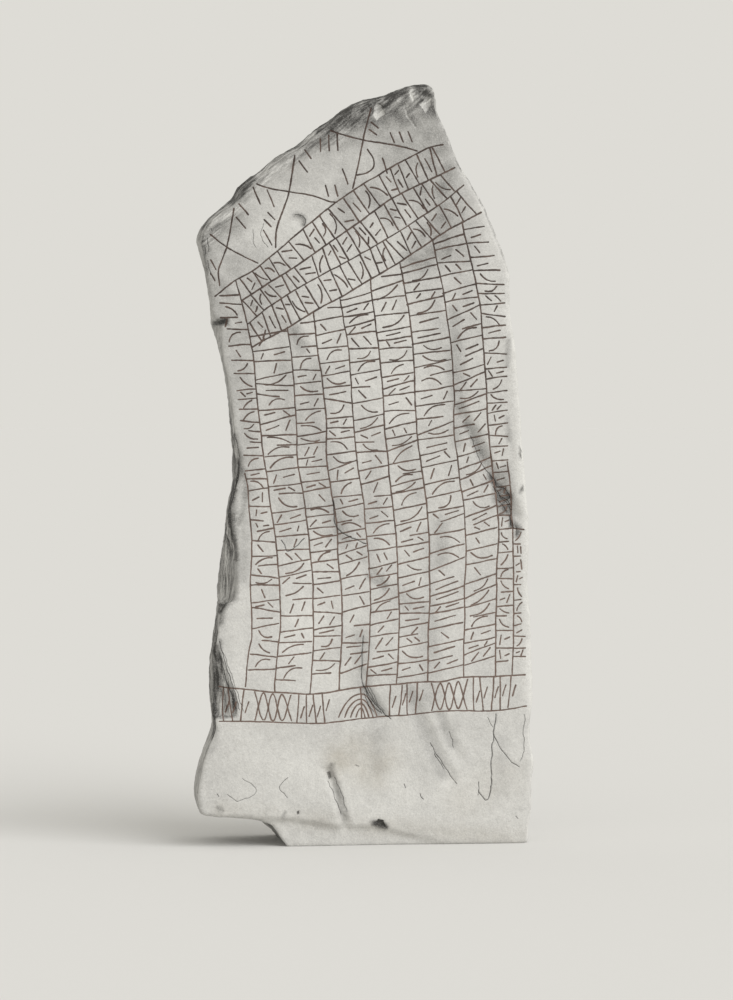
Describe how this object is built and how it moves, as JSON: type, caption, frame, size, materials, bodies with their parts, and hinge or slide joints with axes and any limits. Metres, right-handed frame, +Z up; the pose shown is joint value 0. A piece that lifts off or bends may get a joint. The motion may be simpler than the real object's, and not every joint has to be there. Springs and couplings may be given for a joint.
{
  "type": "rune stone",
  "caption": "Tall standing slab of pale granite with a slanting broken top, spalled left side, ruled bands and columns of shallow carved strokes, cut flat at ground level.",
  "frame": {"origin": "centre of the stone's box, at ground level on the flat underside", "axes": "+Z up to the peak, -Y the carved front, +X to the right as the front is looked at"},
  "size_m": [1.126, 0.4099, 2.508],
  "materials": {
    "granite": "weathered, fine-grained, strokes painted dark red-brown"
  },
  "bodies": {
    "root": {"rune_stone": "granite"}
  },
  "joints": []
}
